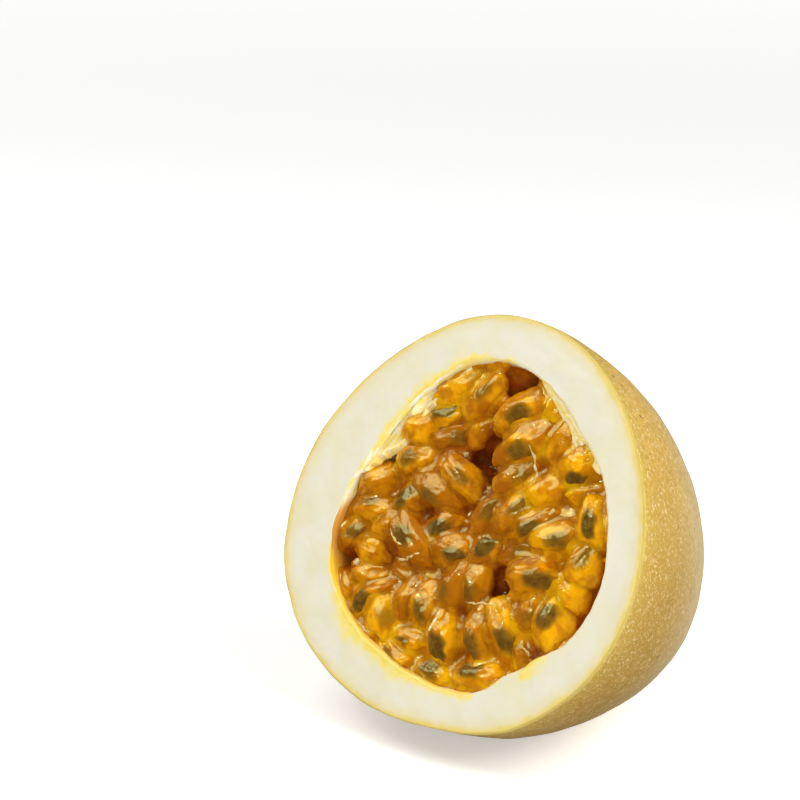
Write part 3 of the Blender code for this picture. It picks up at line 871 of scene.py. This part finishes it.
def make_juice():
    """One skin of juice over the sacs, the band and the pool, swollen and shrunk to fill the valleys."""
    bm = bmesh.new()
    for mesh in (*(sac.data for sac in sacs.values()), wall_band(), pool()):
        bm.from_mesh(mesh)
    bmesh.ops.delete(bm, geom=[v for v in bm.verts if not v.link_faces], context="VERTS")
    rough = add_piece("joined_sacs", closed_mesh("joined_sacs", bm))
    for grow, smoothing in ((0, 2), (JUICE_FILLET, 6), (-JUICE_FILLET - JUICE_SINK, 4)):
        if grow:
            swell = rough.modifiers.new("swell", "DISPLACE")
            swell.direction = "NORMAL"
            swell.mid_level = 0
            swell.strength = grow
        add_remesh(rough, JUICE_VOXEL, smoothing)
    return add_piece("juice_between_sacs", finished_mesh(rough))


juice = make_juice()
points, normals = laid_out(juice.data)
placed = on_face(points)
seen = openness(points, normals, neighbours)
# painted shade: the juice lies low between the sacs, so its light value is lowered and it is painted darker
store(juice.data, "open", 0.75 * spread_out(juice.data, seen, 3) + 0.4 * painted_light_and_shade(placed))
store(juice.data, "seed", np.zeros(len(points)))
store(juice.data, "tone", np.clip(pulp_tone(placed) - painted_light_and_shade(placed), 0, 1))
juice.data.materials.append(sac_surface("pooled_juice"))
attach(juice, "root")


# --------------------
# The torn membranes: strips of the hollow's silky lining that have come away from the wall, high on the
# left, where the sacs have shrunk back, and on the right. They are thin and soft, with fibres along them.

# each strip's ends in degrees, its width and how much that varies in mm, and how creased it is
STRIPS = ((112, 172, 3.2, 1.5, 1.0), (34, 80, 3.4, 0.8, 0.5))
STRIP_ROWS = 22
STRIP_STEPS = 170
STRIP_DEPTH = 0.7 * MM
STRIP_HALF_THICK = 0.07  # in mm
WIDTH_WAVES = ((1, 4, 31), (0.3, 1, 32))  # height, size of the lumps in mm, seed
PER_DEGREE = 0.5 * MM  # how long a degree of the hollow's wall is
STRIP_SILK_SQUEEZE = 0.16


def make_torn_membrane(number, start, end, width, vary, creased):
    """One strip: it follows the wall, hangs inwards from it, and is creased along its length."""
    degrees = np.linspace(start, end, STRIP_STEPS)
    run = degrees * PER_DEGREE
    ends = np.sin(np.linspace(0, math.pi, STRIP_STEPS)) ** 0.5
    index = np.interp(degrees % 360, DEGREES, np.arange(AROUND)).round().astype(int)
    wall = wall_row(STRIP_DEPTH)[index]
    inward = unit((*CAVITY_MIDDLE, 0) - wall * (1, 1, 0))
    width = (width + vary * relief(run[:, None] * (1, 0, 0), WIDTH_WAVES)) * ends
    shares = np.linspace(0, 1, STRIP_ROWS)
    both_sides = [(u, 1) for u in shares] + [(u, -1) for u in shares[::-1]]
    rows = []
    for u, side in both_sides:
        curl = np.sin(u * math.pi * 2.2 + 0.6 * np.sin(degrees * 0.12))
        drop = 0.4 + 1.9 * u**1.5 + 0.7 * creased * curl
        flat = np.stack((run, u * width * MM, run * 0), 1)
        fold = 0.30 * creased * wobble(flat, 1.1 * MM, (5, 1, 1), seed=33)
        lift = -drop * ends + fold + side * STRIP_HALF_THICK
        rows.append(raised(wall + inward * (u * width)[:, None] * MM, lift))
    faces = []
    for a in range(len(rows)):
        b = (a + 1) % len(rows)
        for i in range(STRIP_STEPS - 1):
            this, other = a * STRIP_STEPS + i, b * STRIP_STEPS + i
            faces.append((this, this + 1, other + 1, other))
    for i in (0, STRIP_STEPS - 1):
        faces.append([a * STRIP_STEPS + i for a in range(len(rows))])
    strip = bpy.data.meshes.new("strip")
    strip.from_pydata(in_part(np.concatenate(rows)).tolist(), [], faces)
    bm = bmesh.new()
    bm.from_mesh(strip)
    mesh = closed_mesh(f"torn_membrane_{number}", bm)
    along = np.tile(run * STRIP_SILK_SQUEEZE, len(rows))
    across = np.concatenate([u * width * MM for u, side in both_sides])
    store(mesh, "silk", np.stack((along, across, along * 0), 1))
    store(mesh, "across", np.repeat([u for u, side in both_sides], STRIP_STEPS))
    return add_piece(f"torn_membrane_{number}", mesh)


def torn_surface():
    """Fibres like the wall's, golden at the loose edge, with a faint painted glow in place of light shining
    through them.
    """
    s = Surface("torn_silky_membrane", roughness=0.3, specular_ior_level=0.5)
    # painted glow: a faint emission in place of light shining through the thin strips
    s.shader.inputs["Emission Color"].default_value = (1.0, 0.86, 0.50, 1)
    s.shader.inputs["Emission Strength"].default_value = 0.10
    threads = s.noise(0.45, 4, 0.65, s.attribute("silk", "Vector"))
    colour = s.paint(
        s.mix(s.blend(threads, 0.42, 0.62), (0.97, 0.74, 0.13), (0.97, 0.90, 0.62)),
        (s.blend(s.attribute("across"), 0.7, 1.0, 0, 0.7), (0.90, 0.62, 0.06)),
    )
    s.bump(threads, 0.6, 0.25)
    return s.finish(colour)


torn_material = torn_surface()
for number, strip in enumerate(STRIPS, 1):
    torn_membrane = make_torn_membrane(number, *strip)
    torn_membrane.data.materials.append(torn_material)
    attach(torn_membrane, "root")


# --------------------
# The pale threads: stalks of sacs that tore off and lie wet across the pulp. They are soft white fibres
# about a third of a millimetre thick. One small bead of curled-up skin lies with them at the left.

# each thread's way over the pulp: across, up in mm, and how thick it is in mm
THREADS = (
    (((-15.3, -4.3), (-13.4, -5.8), (-11.4, -6.6)), 0.36),
    (((-13.8, -9.2), (-10.5, -8.2), (-7.6, -6.9)), 0.42),
    (((8.9, 16.6), (10.2, 13.0), (11.6, 10.6)), 0.40),
    (((0.6, -15.0), (0.9, -17.5), (0.4, -20.2)), 0.40),
    (((4.6, -12.6), (8.0, -12.0), (11.9, -11.2)), 0.34),
    (((-17.3, -21.6), (-15.2, -22.6), (-13.0, -23.2)), 0.36),
)
THREAD_STEPS = 40
THREAD_SIDES = 8
THREAD_SINK = 0.05 * MM
THREAD_WAVER = 0.16 * MM
BEAD = (-22.2, -11.9, 0.85)  # across, up and radius in mm
LOOK_FROM, LOOK_FAR = 8 * MM, 40 * MM
IF_MISSED = -3 * MM

covered = joined_tree([*sacs.values(), juice])


def height_over_pulp(across, up):
    """How far out the pulp's surface lies at a place of the cut face."""
    start = in_part(np.array((across, up, LOOK_FROM)))
    hit = covered.ray_cast(Vector(start), Vector(-FACE_OUT), LOOK_FAR)[0]
    return on_face(np.array(hit))[2] if hit else IF_MISSED


def thread_centre(knots, thick):
    """A thread's middle line: a wavering curve through its three knots that lies on the pulp."""
    start, middle, end = np.array(knots) * MM
    u = np.linspace(0, 1, THREAD_STEPS)[:, None]
    pull = 2 * middle - (start + end) / 2
    way = (1 - u) ** 2 * start + 2 * u * (1 - u) * pull + u**2 * end
    flat = np.append(way, u * 0, 1)
    way += THREAD_WAVER * np.stack([wobble(flat, 0.9 * MM, seed=thick + k) for k in (51, 52)], 1)
    over = np.array([height_over_pulp(x, y) for x, y in way])
    for _ in range(6):
        over[1:-1] = np.maximum(over[1:-1] - 0.1 * MM, (over[:-2] + over[1:-1] + over[2:]) / 3)
    return np.append(way, over[:, None] - THREAD_SINK, 1)


def add_thread(bm, knots, thick):
    """A flattish tube along the thread's middle line, thinner at its ends."""
    centre = thread_centre(knots, thick)
    u = np.linspace(0, 1, THREAD_STEPS)[:, None]
    ahead = unit(np.gradient(centre, axis=0))
    side = unit(np.cross(ahead, (0, 0, 1)))
    out = np.cross(side, ahead)
    thinner_ends = 0.35 + 0.65 * np.sin(u * math.pi) ** 0.6
    radius = thick / 2 * MM * thinner_ends * (1 + 0.3 * np.sin(u * 23 + thick * 40))
    lines = []
    for k in range(THREAD_SIDES):
        turn = math.tau * k / THREAD_SIDES
        lines.append(centre + radius * (1.4 * math.cos(turn) * side + 0.8 * math.sin(turn) * out))
    rings = [[bm.verts.new(in_part(line[i])) for line in lines] for i in range(THREAD_STEPS)]
    for ring, following in zip(rings, rings[1:]):
        for k in range(THREAD_SIDES):
            m = (k + 1) % THREAD_SIDES
            bm.faces.new((ring[k], ring[m], following[m], following[k]))
    bm.faces.new(rings[0][::-1])
    bm.faces.new(rings[-1])


def add_bead(bm, across, up, radius):
    """A lumpy bead that sits on the pulp."""
    middle = (across, up, height_over_pulp(across, up) + 0.3 * radius)
    for vert in bmesh.ops.create_icosphere(bm, subdivisions=4, radius=1)["verts"]:
        lumpy = 1 + 0.28 * noise.noise(vert.co * 1.6)
        vert.co = in_part(np.array(vert.co) * (1.1, 0.85, 0.8) * radius * lumpy + middle)


def make_threads():
    bm = bmesh.new()
    for knots, thick in THREADS:
        add_thread(bm, knots, thick)
    add_bead(bm, *(value * MM for value in BEAD))
    return add_piece("pale_threads", closed_mesh("pale_threads", bm))


def thread_surface():
    s = Surface("wet_white_fibre", roughness=0.15, specular_ior_level=0.8)
    colour = s.mix(s.blend(s.noise(0.9, 3), 0.35, 0.65), (0.82, 0.50, 0.08), (0.86, 0.72, 0.38))
    s.bump(s.noise(0.3, 2), 0.3, 0.06)
    return s.finish(colour)


threads = make_threads()
threads.data.materials.append(thread_surface())
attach(threads, "root")


# --------------------
# The deeper pulp: the sacs below the first layer, pressed together with the juice between them. They
# hang from the wall like the others, in shade at the bottom of the gaps, and look red-brown.

PULP_LUMP = 6.0 * MM
PULP_VOXEL = 0.75 * MM
PULP_SMOOTHING = 4
PULP_TOP = (-22 * MM, -14 * MM)  # its lumps begin to show at the first depth, and stand fully at the second

deep_mesh = remeshed(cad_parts["deep_pulp"], PULP_VOXEL, PULP_SMOOTHING)
points, normals = laid_out(deep_mesh)
placed = on_face(points)
near_top = soft_step(*PULP_TOP, placed[:, 2])
cells = np.array([noise.voronoi(p)[0][:2] for p in (placed / PULP_LUMP).tolist()])
lumps = np.clip(cells[:, 1] - cells[:, 0], 0, 0.5) * 2
heights = near_top * (1.6 * lumps - 0.9 + 0.25 * np.abs(wobble(placed, 1.5 * MM))) * MM
set_points(deep_mesh, points + normals * heights[:, None])
deep_pulp = add_piece("wet_deep_pulp", deep_mesh)
# painted light and shade: the tops of the lumps are lighter, the hollows between them in painted shade
store(deep_mesh, "open", 0.35 + 0.3 * lumps)
store(deep_mesh, "seed", 0.7 * (1 - soft_step(0.12, 0.34, cells[:, 0])) * near_top)
store(deep_mesh, "tone", np.full(len(points), 0.8))
deep_mesh.materials.append(sac_surface("wet_deep_pulp"))
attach(deep_pulp, "root")
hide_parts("deep_pulp")


# --------------------
# The table and the studio: a pale matt floor that glows faintly, more so far off, and fades into white
# surroundings. A broad soft light high on the left lights the fruit, with a small bright one beside it.
# Two broad ones, low in front and high on the right, brighten it without shining in its wet skins.

FLOOR_SIZE = 6
GLOW_STARTS, GLOW_ENDS = 0.25, 1.1  # the glow in view grows between these distances
GLOW_NEAR, GLOW_FAR = 0.42, 0.84
GLOW_ON_FRUIT = 0.12
ROOM_LIGHT, BACKDROP_LIGHT = 0.08, 0.92
FRUIT_MIDDLE_HEIGHT = 0.04
WHITE = (1, 1, 1, 1)

bpy.ops.mesh.primitive_plane_add(size=FLOOR_SIZE)
floor = bpy.context.object
floor.name = "pale_floor"
plain = Surface("pale_floor", roughness=0.7)
plain.shader.inputs["Base Color"].default_value = (0.90, 0.90, 0.89, 1)
plain.shader.inputs["Emission Color"].default_value = (1, 1, 0.99, 1)
in_view = plain.nodes.new("ShaderNodeLightPath").outputs["Is Camera Ray"]
from_fruit = plain.nodes.new("ShaderNodeVectorMath")
from_fruit.operation = "LENGTH"
plain.feed(from_fruit.inputs[0], plain.places)
far_glow = plain.blend(from_fruit.outputs["Value"], GLOW_STARTS, GLOW_ENDS, GLOW_NEAR, GLOW_FAR)
plain.feed(plain.shader.inputs["Emission Strength"], plain.blend(in_view, 0, 1, GLOW_ON_FRUIT, far_glow))
floor.data.materials.append(plain.material)
floor.visible_glossy = False


def soft_light(name, direction, distance, size, radiance, mirrored=True):
    """A square soft light that looks at the fruit. Wet skins don't mirror it if mirrored is False."""
    data = bpy.data.lights.new(name, "AREA")
    data.shape = "SQUARE"
    data.size = size
    data.energy = radiance * math.pi * size * size
    light = bpy.data.objects.new(name, data)
    bpy.context.scene.collection.objects.link(light)
    way = Vector(direction).normalized()
    light.location = Vector((0, 0, FRUIT_MIDDLE_HEIGHT)) + way * distance
    light.rotation_euler = way.to_track_quat("Z", "Y").to_euler()
    light.visible_glossy = mirrored


# name, direction, distance, size and how bright it looks
soft_light("soft_light_left", (-0.50, -0.30, 0.82), 0.6, 0.50, 3.0)
soft_light("soft_light_front", (0.60, -0.80, 0.15), 0.7, 0.40, 2.6, mirrored=False)
soft_light("soft_light_right", (0.92, 0.12, 0.78), 0.7, 0.50, 6.8, mirrored=False)
soft_light("small_bright_light", (-0.25, -0.55, 0.80), 0.9, 0.05, 60)

world = bpy.data.worlds.new("white_room")
bpy.context.scene.world = world
world.use_nodes = True
nodes, links = world.node_tree.nodes, world.node_tree.links
room = nodes["Background"]
room.inputs["Strength"].default_value = ROOM_LIGHT
room.inputs["Color"].default_value = WHITE
backdrop = nodes.new("ShaderNodeBackground")
backdrop.inputs["Strength"].default_value = BACKDROP_LIGHT
backdrop.inputs["Color"].default_value = WHITE
room_or_backdrop = nodes.new("ShaderNodeMixShader")
links.new(nodes.new("ShaderNodeLightPath").outputs["Is Camera Ray"], room_or_backdrop.inputs[0])
links.new(room.outputs[0], room_or_backdrop.inputs[1])
links.new(backdrop.outputs[0], room_or_backdrop.inputs[2])
links.new(room_or_backdrop.outputs[0], nodes["World Output"].inputs["Surface"])

camera_data = bpy.data.cameras.new("camera")
camera_data.sensor_width = 36
camera_data.lens = 117.755
camera_data.clip_start, camera_data.clip_end = 0.01, 20
camera = bpy.data.objects.new("camera", camera_data)
bpy.context.scene.collection.objects.link(camera)
camera.location = (0.2843, -0.3407, 0.1927)
AZIMUTH, ELEVATION = math.radians(42.755), math.radians(17.0)
level = math.cos(ELEVATION)
back = Vector((math.sin(AZIMUTH) * level, -math.cos(AZIMUTH) * level, math.sin(ELEVATION)))
camera.rotation_euler = back.to_track_quat("Z", "Y").to_euler()
bpy.context.scene.camera = camera
bpy.context.scene.view_settings.view_transform = "Standard"
